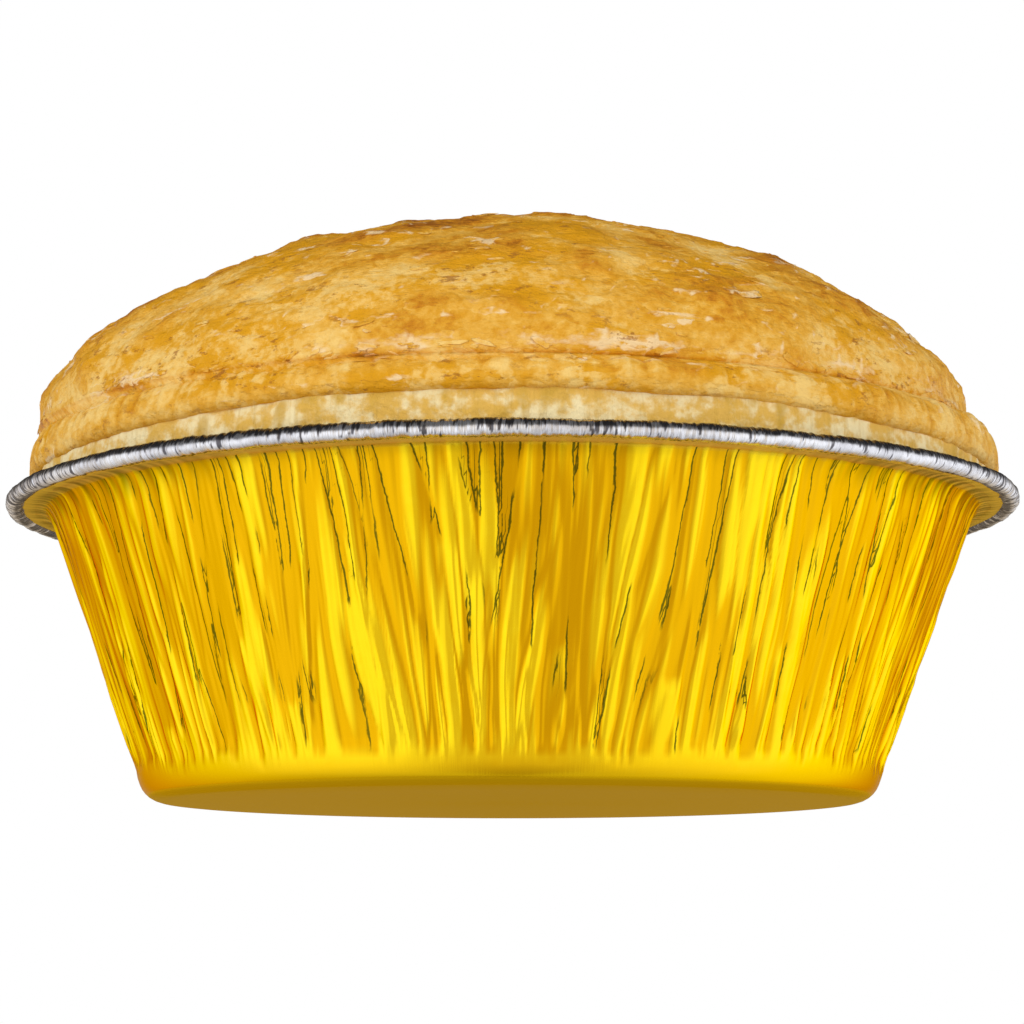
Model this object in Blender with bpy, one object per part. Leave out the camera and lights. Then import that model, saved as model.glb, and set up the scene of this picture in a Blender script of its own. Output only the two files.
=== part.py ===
"""An individual pot pie in its foil tin, upright on its base, in metres with +Z up.

The origin is the centre of the tin's underside. Three solids make it up: the pleated foil tin with its
rolled rim, the base pastry that fills the tin and laps over its flange, and the domed pastry lid.
"""

import math
from dataclasses import dataclass

import bmesh
import bpy

MM = 0.001

# Foil tin
RIM_RADIUS = 60.0 * MM
BEAD_WIDTH = 2.1 * MM
BEAD_HEIGHT = 1.8 * MM
BEAD_MIDDLE_Z = 34.75 * MM
BASE_EDGE_RADIUS = 42.75 * MM
WALL_FLARE = 0.37
WALL_TOP_Z = 33.7 * MM
HEEL_RADIUS = 3.0 * MM
FLANGE_FOOT_RADIUS = 56.0 * MM
FLANGE_RISE = 0.9 * MM
FOIL_RELIEF = 0.5 * MM
PLEATS = 40
PLEAT_DEPTH = 0.24 * MM

# Pastry
GAP = 0.3 * MM
BAND_RADIUS = 56.5 * MM
BAND_BULGE = 0.5 * MM
BAND_TOP_Z = 39.2 * MM
LEDGE_RADIUS = 57.5 * MM
LEDGE_SHIFT_X = 0.5 * MM
LEDGE_TOP_Z = 42.6 * MM
CREASE_RADIUS = 54.5 * MM
CREASE_Z = 43.1 * MM
EDGE_CRIMPS = 24
CRIMP_DEPTH = 0.35 * MM
DOME_RADIUS = 55.6 * MM
DOME_WIDEST_Z = 45.8 * MM
DOME_TOP_Z = 68.2 * MM
DOME_SHIFT_X = -0.85 * MM
CROWN_SHIFT_X = 0.9 * MM
DOME_SHOULDER = 2.1
DOME_CROWN = 1.47

# Fineness of the turned solids
HEEL_STEPS = 4
BEAD_STEPS = 10
DOME_RINGS = 11
TIN_SEGMENTS = 2 * PLEATS
BAND_SEGMENTS = 64
LID_SEGMENTS = 4 * EDGE_CRIMPS
POLE_MERGE = 1e-6


@dataclass(frozen=True)
class Finish:
    """Colour and surface of one sub-part."""

    colour: tuple[float, float, float]
    roughness: float
    metallic: float = 0.0


GOLD_FOIL = Finish((0.92, 0.62, 0.03), 0.25, 1.0)
PALE_PASTRY = Finish((0.78, 0.62, 0.36), 0.75)
BAKED_PASTRY = Finish((0.66, 0.40, 0.13), 0.6)


def clear_scene() -> None:
    """Removes every object of the scene."""
    for obj in list(bpy.context.scene.objects):
        bpy.data.objects.remove(obj, do_unlink=True)


def material(name: str, finish: Finish) -> bpy.types.Material:
    """Makes a Principled material from a finish."""
    made = bpy.data.materials.new(name)
    made.use_nodes = True
    shader = made.node_tree.nodes["Principled BSDF"]
    shader.inputs["Base Color"].default_value = (*finish.colour, 1.0)
    shader.inputs["Roughness"].default_value = finish.roughness
    shader.inputs["Metallic"].default_value = finish.metallic
    return made


def wall_radius(height: float, inset: float = 0.0) -> float:
    """Radius of the flared wall at a height, moved inwards square to the wall by inset."""
    return BASE_EDGE_RADIUS + WALL_FLARE * height - inset * math.hypot(1.0, WALL_FLARE)


def heel(floor: float, inset: float, fillet: float) -> list[tuple[float, float]]:
    """Points of the rounded heel, from the flat base at height floor round to the flared wall."""
    flare = math.atan(WALL_FLARE)
    turn = math.pi / 2 - flare
    corner = wall_radius(floor, inset)
    middle = corner - fillet * math.tan(turn / 2)
    points = []
    for step in range(HEEL_STEPS + 1):
        angle = turn * step / HEEL_STEPS
        points.append((middle + fillet * math.sin(angle), floor + fillet * (1 - math.cos(angle))))
    return points


def bead() -> list[tuple[float, float]]:
    """Points round the rolled rim, from its lower inner side, out, up and back to its upper inner side."""
    middle = RIM_RADIUS - BEAD_WIDTH / 2
    first, last = math.radians(-145), math.radians(160)
    points = []
    for step in range(BEAD_STEPS + 1):
        angle = first + (last - first) * step / BEAD_STEPS
        across = middle + BEAD_WIDTH / 2 * math.cos(angle)
        points.append((across, BEAD_MIDDLE_Z + BEAD_HEIGHT / 2 * math.sin(angle)))
    return points


def tin_outline() -> list[tuple[float, float]]:
    """Section of the tin: underside, wall and flange outside, round the rim, and back down the inside."""
    outside = [(0.0, 0.0), *heel(0.0, 0.0, HEEL_RADIUS)]
    outside.append((wall_radius(WALL_TOP_Z), WALL_TOP_Z))
    outside.append((FLANGE_FOOT_RADIUS, WALL_TOP_Z + FLANGE_RISE / 2))
    flange_top = WALL_TOP_Z + FLANGE_RISE / 2 + FOIL_RELIEF
    inside = [(FLANGE_FOOT_RADIUS, flange_top), (wall_radius(WALL_TOP_Z, FOIL_RELIEF), WALL_TOP_Z)]
    inside += reversed(heel(FOIL_RELIEF, FOIL_RELIEF, HEEL_RADIUS - FOIL_RELIEF))
    inside.append((0.0, FOIL_RELIEF))
    return [*outside, *bead(), *inside]


def band_outline() -> list[tuple[float, float]]:
    """Section of the base pastry: it fills the tin, laps over the flange and ends in a soft bulging edge."""
    inset = FOIL_RELIEF + GAP
    lap_z = WALL_TOP_Z + FLANGE_RISE / 2 + FOIL_RELIEF + GAP
    edge_middle = (lap_z + BAND_TOP_Z) / 2
    points = [(0.0, inset), *heel(inset, inset, HEEL_RADIUS - inset)]
    points.append((wall_radius(WALL_TOP_Z, inset), WALL_TOP_Z + GAP))
    points.append((FLANGE_FOOT_RADIUS, lap_z))
    points.append((BAND_RADIUS, lap_z + GAP))
    points.append((BAND_RADIUS + BAND_BULGE, edge_middle))
    points.append((BAND_RADIUS, BAND_TOP_Z))
    points.append((0.0, BAND_TOP_Z))
    return points


def dome_height(radius: float) -> float:
    """Height of the dome at a radius: flat on its crown and steep at its shoulder."""
    share = min(radius / DOME_RADIUS, 1.0)
    rise = DOME_TOP_Z - DOME_WIDEST_Z
    return DOME_WIDEST_Z + rise * (1 - share**DOME_SHOULDER) ** (1 / DOME_CROWN)


def lid_outline() -> list[tuple[float, float]]:
    """Section of the lid: flat underside, rounded ledge, pinched crease and the dome above it."""
    foot = BAND_TOP_Z + GAP
    ledge_middle = (foot + LEDGE_TOP_Z) / 2
    points = [(0.0, foot), (LEDGE_RADIUS - 0.8 * MM, foot)]
    points.append((LEDGE_RADIUS, ledge_middle))
    points.append((LEDGE_RADIUS - 0.7 * MM, LEDGE_TOP_Z))
    points.append((CREASE_RADIUS, CREASE_Z))
    points.append((DOME_RADIUS - 0.5 * MM, (CREASE_Z + DOME_WIDEST_Z) / 2))
    for ring in range(DOME_RINGS + 1):
        radius = DOME_RADIUS * math.cos(math.pi / 2 * ring / DOME_RINGS)
        points.append((radius, dome_height(radius)))
    points[-1] = (0.0, DOME_TOP_Z)
    return points


def turned(name: str, outline: list[tuple[float, float]], segments: int, finish: Finish) -> bpy.types.Object:
    """Spins a section about the Z axis into one closed solid with its faces pointing out."""
    mesh = bpy.data.meshes.new(name)
    shape = bmesh.new()
    corners = [shape.verts.new((radius, 0.0, height)) for radius, height in outline]
    edges = [shape.edges.new(pair) for pair in zip(corners, corners[1:])]
    bmesh.ops.spin(
        shape,
        geom=corners + edges,
        cent=(0.0, 0.0, 0.0),
        axis=(0.0, 0.0, 1.0),
        angle=math.tau,
        steps=segments,
        use_merge=True,
    )
    bmesh.ops.remove_doubles(shape, verts=shape.verts, dist=POLE_MERGE)
    bmesh.ops.recalc_face_normals(shape, faces=shape.faces)
    shape.to_mesh(mesh)
    shape.free()
    mesh.shade_smooth()
    mesh.set_sharp_from_angle(angle=math.radians(40))
    mesh.materials.append(material(name, finish))
    solid = bpy.data.objects.new(name, mesh)
    bpy.context.scene.collection.objects.link(solid)
    return solid


def blend(value: float, start: float, end: float) -> float:
    """Rises smoothly from 0 at start to 1 at end."""
    share = min(max((value - start) / (end - start), 0.0), 1.0)
    return share * share * (3 - 2 * share)


def pleat_wall(tin: bpy.types.Object) -> None:
    """Presses shallow upright pleats into the outside of the tin's wall."""
    for vertex in tin.data.vertices:
        x, y, z = vertex.co
        radius = math.hypot(x, y)
        outside = radius > wall_radius(z, FOIL_RELIEF / 2) and z <= WALL_TOP_Z + POLE_MERGE
        depth = PLEAT_DEPTH * blend(z, 0.0, WALL_TOP_Z)
        if outside and depth > 0:
            wave = math.cos(PLEATS * math.atan2(y, x))
            scale = 1 - depth * (0.5 - 0.5 * wave) / radius
            vertex.co = (x * scale, y * scale, z)


def shape_lid(lid: bpy.types.Object) -> None:
    """Crimps the ledge, and sets the ledge and the dome each a little off the tin's axis."""
    for vertex in lid.data.vertices:
        x, y, z = vertex.co
        radius = math.hypot(x, y)
        radius = max(radius, POLE_MERGE)
        on_ledge = 1 - blend(z, LEDGE_TOP_Z, CREASE_Z)
        wave = math.cos(EDGE_CRIMPS * math.atan2(y, x))
        scale = 1 - CRIMP_DEPTH * on_ledge * (0.5 - 0.5 * wave) / radius
        outward = min(radius / CREASE_RADIUS, 1.0)
        dome_shift = CROWN_SHIFT_X + (DOME_SHIFT_X - CROWN_SHIFT_X) * outward
        shift = dome_shift + (LEDGE_SHIFT_X - dome_shift) * on_ledge
        vertex.co = (x * scale + shift, y * scale, z)


def main() -> None:
    """Builds the three solids."""
    clear_scene()
    tin = turned("foil_tin", tin_outline(), TIN_SEGMENTS, GOLD_FOIL)
    pleat_wall(tin)
    turned("base_pastry", band_outline(), BAND_SEGMENTS, PALE_PASTRY)
    lid = turned("pastry_lid", lid_outline(), LID_SEGMENTS, BAKED_PASTRY)
    shape_lid(lid)


main()
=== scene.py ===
"""The looks of an individual pot pie: a crinkled gold foil tin with a rolled silver rim, the pale
base pastry that laps over its flange, and a flaky domed lid with a crimped ledge. Metres, +Z up,
the shown side towards -Y."""

from __future__ import annotations

import itertools
import logging
import math
from dataclasses import dataclass, field
from enum import Enum

import bpy
import numpy as np
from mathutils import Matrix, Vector


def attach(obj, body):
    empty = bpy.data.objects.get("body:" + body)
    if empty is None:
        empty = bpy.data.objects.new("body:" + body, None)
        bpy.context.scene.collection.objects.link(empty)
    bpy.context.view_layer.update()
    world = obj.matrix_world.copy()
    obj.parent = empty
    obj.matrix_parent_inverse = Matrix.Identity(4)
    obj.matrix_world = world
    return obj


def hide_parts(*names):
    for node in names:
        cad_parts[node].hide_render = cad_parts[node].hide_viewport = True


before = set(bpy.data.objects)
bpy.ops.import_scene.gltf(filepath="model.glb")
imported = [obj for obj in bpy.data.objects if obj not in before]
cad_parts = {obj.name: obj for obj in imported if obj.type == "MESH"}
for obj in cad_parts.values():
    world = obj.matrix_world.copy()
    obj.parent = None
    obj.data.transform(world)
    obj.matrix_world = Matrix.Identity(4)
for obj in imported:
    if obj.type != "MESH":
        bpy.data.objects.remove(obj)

MM = 0.001
BODY = "root"
LOG = logging.getLogger("pot_pie")
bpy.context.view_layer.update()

Colour = tuple[float, float, float]
Pair = tuple[float, float]
Socket = bpy.types.NodeSocket
HELPERS = ("along", "out_r", "out_z")
WELD = 1e-7


class Slot(Enum):
    """The record's material slots."""

    GOLD_FOIL = "gold_foil"
    PALE_PASTRY = "pale_pastry"
    BAKED_PASTRY = "baked_pastry"


class Node(Enum):
    """The CAD nodes that the pieces stand for."""

    TIN = "foil_tin"
    BAND = "base_pastry"
    LID = "pastry_lid"


class FoldKind(Enum):
    """Where a fold starts and ends on the tin's wall, as shares of its height from the rim."""

    LONG = ((-0.2, -0.1), (0.78, 0.97))
    UPPER = ((-0.2, -0.1), (0.22, 0.68))
    LOWER = ((0.3, 0.62), (0.86, 0.98))


# ---------------------------------------------------------------- numbers


def smooth(values: np.ndarray | float, start: float, end: float) -> np.ndarray:
    """Rises smoothly from 0 at start to 1 at end, or falls where end is below start."""
    share = np.clip((np.asarray(values, float) - start) / (end - start), 0.0, 1.0)
    return share * share * (3 - 2 * share)


def bell(distance: np.ndarray, width: float) -> np.ndarray:
    """Bell curve of a distance: 1 at none, and about a third at the width."""
    return np.exp(-((distance / width) ** 2))


def wrapped(lengths: np.ndarray, turn: float) -> np.ndarray:
    """Brings lengths round a circle of circumference turn to between minus and plus half of it."""
    return (lengths + turn / 2) % turn - turn / 2


class Noise:
    """Seeded smooth gradient noise in three dimensions, from about -1 to 1."""

    def __init__(self, seed: int) -> None:
        """Shuffles the lattice.

        Args:
            seed: number that sets the pattern.
        """
        draw = np.random.default_rng(seed)
        self.order = np.tile(draw.permutation(256), 3)
        slopes = draw.normal(size=(256, 3))
        self.slopes = slopes / np.linalg.norm(slopes, axis=1, keepdims=True)

    def __call__(self, points: np.ndarray) -> np.ndarray:
        """Noise at each point.

        Args:
            points: n by 3 array, one lattice cell to the unit.

        Returns:
            n values.
        """
        cell = np.floor(points).astype(int)
        part = points - cell
        cell &= 255
        fade = part**3 * (part * (part * 6 - 15) + 10)
        total = np.zeros(len(points))
        for corner in itertools.product((0, 1), repeat=3):
            i, j, k = (cell + corner).T
            slope = self.slopes[self.order[self.order[self.order[i] + j] + k]]
            weight = np.where(corner, fade, 1 - fade).prod(axis=1)
            total += weight * ((part - corner) * slope).sum(axis=1)
        return total * 1.6

    def layered(self, points: np.ndarray, octaves: int) -> np.ndarray:
        """Sum of octaves, each twice as fine and half as strong as the one before."""
        apart = 17.3
        return sum(self(points * 2.0**n + apart * n) / 2.0**n for n in range(octaves))


@dataclass(frozen=True)
class Grain:
    """A pattern laid round a turned piece: its seed, and the size of its cells across and up."""

    seed: int
    across: float
    up: float = math.inf


@dataclass(frozen=True)
class TurnedPlaces:
    """A turned piece's vertices: their places, and the radius that patterns are laid at."""

    places: np.ndarray
    mean: float = 1.0

    @property
    def angle(self) -> np.ndarray:
        """Angle round the axis."""
        return np.arctan2(self.places[:, 1], self.places[:, 0])

    @property
    def radius(self) -> np.ndarray:
        """Distance from the axis."""
        return np.hypot(self.places[:, 0], self.places[:, 1])

    @property
    def height(self) -> np.ndarray:
        """Height above the tin's underside."""
        return self.places[:, 2]

    def noise(
        self, grain: Grain, turn: np.ndarray | float = 0.0, rows: np.ndarray | None = None
    ) -> np.ndarray:
        """Noise laid round the piece.

        Args:
            grain: its pattern.
            turn: angle that each vertex's pattern is turned by.
            rows: what runs up the pattern, where it isn't the height.

        Returns:
            One value for each vertex.
        """
        angle = self.angle + turn
        ring = np.column_stack([np.cos(angle), np.sin(angle)]) * self.mean
        rows = self.height if rows is None else rows
        return Noise(grain.seed)(np.column_stack([ring / grain.across, rows / grain.up]))


# ---------------------------------------------------------------- modelling


@dataclass(frozen=True)
class Section:
    """A turned piece's section, as radius and height, its outer side to the right of its run."""

    points: np.ndarray

    def along(self) -> np.ndarray:
        """Length of the run up to each point."""
        steps = np.linalg.norm(np.diff(self.points, axis=0), axis=1)
        return np.concatenate([[0.0], np.cumsum(steps)])

    def outward(self) -> np.ndarray:
        """Unit normal at each point, as radius and height."""
        run = np.gradient(self.points, axis=0)
        normal = np.stack([run[:, 1], -run[:, 0]], axis=1)
        return normal / np.maximum(np.linalg.norm(normal, axis=1, keepdims=True), 1e-12)


def arc(centre: Pair, radii: Pair, turn: Pair, steps: int) -> list[Pair]:
    """Points on an ellipse's arc.

    Args:
        centre: radius and height of its middle.
        radii: half widths in radius and in height.
        turn: first and last angle in degrees, from the outward direction up.
        steps: number of spaces between the points.

    Returns:
        steps + 1 points.
    """
    angles = np.radians(np.linspace(*turn, steps + 1))
    across = centre[0] + radii[0] * np.cos(angles)
    return list(zip(across, centre[1] + radii[1] * np.sin(angles)))


def straight(start: Pair, end: Pair, steps: int) -> list[Pair]:
    """Points on a straight run, without its last one."""
    return [tuple(point) for point in np.linspace(start, end, steps + 1)[:-1]]


def deselect_all() -> None:
    """Leaves object mode with nothing selected."""
    if bpy.context.mode != "OBJECT":
        bpy.ops.object.mode_set(mode="OBJECT")
    bpy.ops.object.select_all(action="DESELECT")


def write_values(piece: bpy.types.Object, name: str, values: np.ndarray) -> None:
    """Stores one value for each vertex under a name."""
    stored = piece.data.attributes
    made = stored.get(name) or stored.new(name, "FLOAT", "POINT")
    made.data.foreach_set("value", np.asarray(values, np.float32))


def read_values(piece: bpy.types.Object, name: str) -> np.ndarray:
    """Reads the values stored under a name."""
    values = np.empty(len(piece.data.vertices), np.float32)
    piece.data.attributes[name].data.foreach_get("value", values)
    return values.astype(float)


def places_of(piece: bpy.types.Object) -> np.ndarray:
    """The vertices' places, n by 3."""
    places = np.empty(len(piece.data.vertices) * 3, np.float32)
    piece.data.vertices.foreach_get("co", places)
    return places.reshape(-1, 3).astype(float)


def move_to(piece: bpy.types.Object, places: np.ndarray) -> None:
    """Moves the vertices to new places."""
    piece.data.vertices.foreach_set("co", places.astype(np.float32).ravel())
    piece.data.update()


def turned(name: str, section: Section, steps: int) -> bpy.types.Object:
    """Draws a section vertex by vertex and spins it about the Z axis.

    Args:
        name: the piece's name.
        section: its section, in metres.
        steps: number of columns round the axis.

    Returns:
        The piece, with the section's along, out_r and out_z stored on its vertices.
    """
    deselect_all()
    start = section.points[0]
    bpy.ops.mesh.primitive_plane_add(size=MM, location=(start[0], 0.0, start[1]))
    piece = bpy.context.object
    piece.name = piece.data.name = name
    bpy.ops.object.transform_apply(location=True, rotation=True, scale=True)
    bpy.ops.object.mode_set(mode="EDIT")
    bpy.ops.mesh.select_all(action="SELECT")
    bpy.ops.mesh.merge(type="CENTER")
    for step in np.diff(section.points, axis=0):
        move = {"value": (step[0], 0.0, step[1])}
        bpy.ops.mesh.extrude_region_move(TRANSFORM_OT_translate=move)
    bpy.ops.object.mode_set(mode="OBJECT")
    for name, values in zip(HELPERS, (section.along(), *section.outward().T)):
        write_values(piece, name, values)
    ring = piece.modifiers.new("turn", "SCREW")
    ring.steps = ring.render_steps = steps
    ring.angle = math.tau
    bpy.ops.object.modifier_apply(modifier=ring.name)
    bpy.ops.object.mode_set(mode="EDIT")
    bpy.ops.mesh.select_all(action="SELECT")
    bpy.ops.mesh.remove_doubles(threshold=WELD)
    bpy.ops.mesh.normals_make_consistent(inside=False)
    bpy.ops.object.mode_set(mode="OBJECT")
    bpy.ops.object.shade_smooth()
    return piece


def push_out(piece: bpy.types.Object, amounts: np.ndarray) -> None:
    """Moves each vertex along its section's outward normal by its own amount."""
    places = places_of(piece)
    angle = TurnedPlaces(places).angle
    across = amounts * read_values(piece, "out_r")
    places[:, 0] += across * np.cos(angle)
    places[:, 1] += across * np.sin(angle)
    places[:, 2] += amounts * read_values(piece, "out_z")
    move_to(piece, places)


def settle(piece: bpy.types.Object, node: Node, finish: bpy.types.Material) -> None:
    """Dresses a finished piece, ties it to the body and hides the CAD part that it stands for.

    Args:
        piece: the finished piece.
        node: the CAD node that it replaces.
        finish: its material.
    """
    for name in HELPERS:
        helper = piece.data.attributes.get(name)
        if helper:
            piece.data.attributes.remove(helper)
    piece.data.materials.clear()
    piece.data.materials.append(finish)
    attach(piece, BODY)
    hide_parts(node.value)
    LOG.info("%s: %d faces", piece.name, len(piece.data.polygons))


# ---------------------------------------------------------------- materials


class Tree:
    """Short ways to add and join nodes in one node tree."""

    def __init__(self, tree: bpy.types.NodeTree) -> None:
        """Keeps the tree that nodes are added to."""
        self.tree = tree

    def add(self, kind: str, **settings: object) -> bpy.types.Node:
        """Adds a node.

        Args:
            kind: Blender's name for the node's type, without its ShaderNode.
            settings: properties of the node, by name.

        Returns:
            The node.
        """
        node = self.tree.nodes.new("ShaderNode" + kind)
        for name, value in settings.items():
            setattr(node, name, value)
        return node

    def feed(self, socket: bpy.types.NodeSocket, value: object) -> None:
        """Links an output to a socket, or sets a plain value on it."""
        if isinstance(value, bpy.types.NodeSocket):
            self.tree.links.new(value, socket)
        elif isinstance(value, tuple) and len(value) == 3 and socket.type == "RGBA":
            socket.default_value = (*value, 1.0)
        else:
            socket.default_value = value

    def fill(self, node: bpy.types.Node, **values: object) -> None:
        """Feeds a node's inputs, whose names have _ for a space."""
        for name, value in values.items():
            self.feed(node.inputs[name.replace("_", " ")], value)

    def maths(self, operation: str, *values: object, clamp: bool = False) -> Socket:
        """Output of a Math node."""
        node = self.add("Math", operation=operation, use_clamp=clamp)
        for socket, value in zip(node.inputs, values):
            self.feed(socket, value)
        return node.outputs[0]

    def vector(self, operation: str, *values: object) -> Socket:
        """Output of a Vector Math node."""
        node = self.add("VectorMath", operation=operation)
        for socket, value in zip(node.inputs, values):
            self.feed(socket, value)
        return node.outputs["Vector"]

    def scaled(self, vector: Socket, by: object) -> Socket:
        """Output of a vector times a number."""
        node = self.add("VectorMath", operation="SCALE")
        self.fill(node, Vector=vector, Scale=by)
        return node.outputs[0]

    def place(self) -> Socket:
        """The place on the object."""
        return self.add("TexCoord").outputs["Object"]

    def part(self, vector: Socket, axis: str) -> Socket:
        """One part of a vector: its X, Y or Z."""
        node = self.add("SeparateXYZ")
        self.feed(node.inputs[0], vector)
        return node.outputs[axis]

    def stored(self, name: str) -> Socket:
        """Value stored on the vertices under a name."""
        return self.add("Attribute", attribute_name=name).outputs["Fac"]

    def noise(self, vector: object, scale: object, detail: object, rough: float = 0.5) -> Socket:
        """Value of a Noise Texture, about 0 to 1."""
        node = self.add("TexNoise")
        self.fill(node, Vector=vector, Scale=scale, Detail=detail, Roughness=rough)
        return node.outputs[0]

    def off(self, value: Socket, share: float, onto: object) -> Socket:
        """A value that varies about a half, by which another is moved up and down."""
        return self.maths("MULTIPLY_ADD", self.maths("SUBTRACT", value, 0.5), share, onto)

    def between(self, value: object, low: float, high: float, to: Pair = (0.0, 1.0)) -> Socket:
        """A value's smooth share of the way from low to high, brought to a new range."""
        node = self.add("MapRange", interpolation_type="SMOOTHSTEP", clamp=True)
        for socket, given in zip(node.inputs, (value, low, high, *to)):
            self.feed(socket, given)
        return node.outputs[0]

    def mixed(self, share: object, first: object, second: object, blend: str = "MIX") -> Socket:
        """Output of a colour mix."""
        node = self.add("Mix", data_type="RGBA", blend_type=blend)
        self.feed(node.inputs["Factor"], share)
        self.feed(node.inputs[6], first)
        self.feed(node.inputs[7], second)
        return node.outputs[2]

    def ramp(self, value: object, stops: list[tuple[float, Colour]]) -> Socket:
        """Colour of a value on a ramp of stops."""
        node = self.add("ValToRGB")
        self.feed(node.inputs[0], value)
        elements = node.color_ramp.elements
        while len(elements) < len(stops):
            elements.new(1.0)
        for element, (place, colour) in zip(elements, stops):
            element.position = place
            element.color = (*colour, 1.0)
        return node.outputs[0]

    def bump(
        self, height: object, distance: float, strength: float, under: object = None
    ) -> Socket:
        """Normal of a Bump node, on top of another normal where one is given."""
        node = self.add("Bump")
        self.fill(node, Height=height, Distance=distance, Strength=strength)
        if under is not None:
            self.feed(node.inputs["Normal"], under)
        return node.outputs[0]

    def group(self, shared: bpy.types.NodeTree, **values: object) -> bpy.types.Node:
        """Places a shared group and sets its inputs, whose names have _ for a space."""
        node = self.add("Group", node_tree=shared)
        self.fill(node, **values)
        return node


def shared_group(
    name: str, inputs: tuple[str, ...], outputs: tuple[str, ...]
) -> tuple[Tree, bpy.types.Node, bpy.types.Node]:
    """Starts a shader node group whose sockets are all plain numbers.

    Args:
        name: the group's name.
        inputs: its inputs' names.
        outputs: its outputs' names.

    Returns:
        Its tree, its input node and its output node.
    """
    tree = bpy.data.node_groups.new(name, "ShaderNodeTree")
    for titles, side in ((inputs, "INPUT"), (outputs, "OUTPUT")):
        for title in titles:
            tree.interface.new_socket(title, in_out=side, socket_type="NodeSocketFloat")
    nodes = Tree(tree)
    return nodes, tree.nodes.new("NodeGroupInput"), tree.nodes.new("NodeGroupOutput")


@dataclass
class SharedEffects:
    """Node groups that more than one finish uses."""

    upright: bpy.types.NodeTree = field(init=False)
    mottle: bpy.types.NodeTree = field(init=False)

    def __post_init__(self) -> None:
        """Builds the groups."""
        self.upright = self.make_upright()
        self.mottle = self.make_mottle()

    def make_upright(self) -> bpy.types.NodeTree:
        """Streaks that follow a turned wall, Turn cells to the radian and Rise to the metre up."""
        nodes, given, out = shared_group(
            "upright streaks", ("Turn", "Rise", "Detail"), ("Streaks",)
        )
        place = nodes.place()
        flat = nodes.vector("MULTIPLY", place, (1.0, 1.0, 0.0))
        ring = nodes.scaled(nodes.vector("NORMALIZE", flat), given.outputs["Turn"])
        up = nodes.add("CombineXYZ")
        nodes.fill(up, Z=nodes.maths("MULTIPLY", nodes.part(place, "Z"), given.outputs["Rise"]))
        follow = nodes.vector("ADD", ring, up.outputs[0])
        nodes.fill(out, Streaks=nodes.noise(follow, 1.0, given.outputs["Detail"], 0.6))
        return nodes.tree

    def make_mottle(self) -> bpy.types.NodeTree:
        """Soft blotches and fine grain in one mask, from 0 to 1, and the grain alone."""
        nodes, given, out = shared_group("mottle", ("Scale", "Grain"), ("Mask", "Fine"))
        place = nodes.place()
        large = nodes.noise(place, given.outputs["Scale"], 5.0, 0.55)
        fine = nodes.noise(place, given.outputs["Grain"], 4.0, 0.6)
        both = nodes.off(fine, 0.45, large)
        nodes.fill(out, Mask=nodes.between(both, 0.28, 0.72), Fine=nodes.between(fine, 0.3, 0.7))
        return nodes.tree


def principled(name: str) -> tuple[bpy.types.Material, Tree, bpy.types.Node]:
    """A new node material, its tree and its Principled shader."""
    made = bpy.data.materials.new(name)
    made.use_nodes = True
    return made, Tree(made.node_tree), made.node_tree.nodes["Principled BSDF"]


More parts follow.
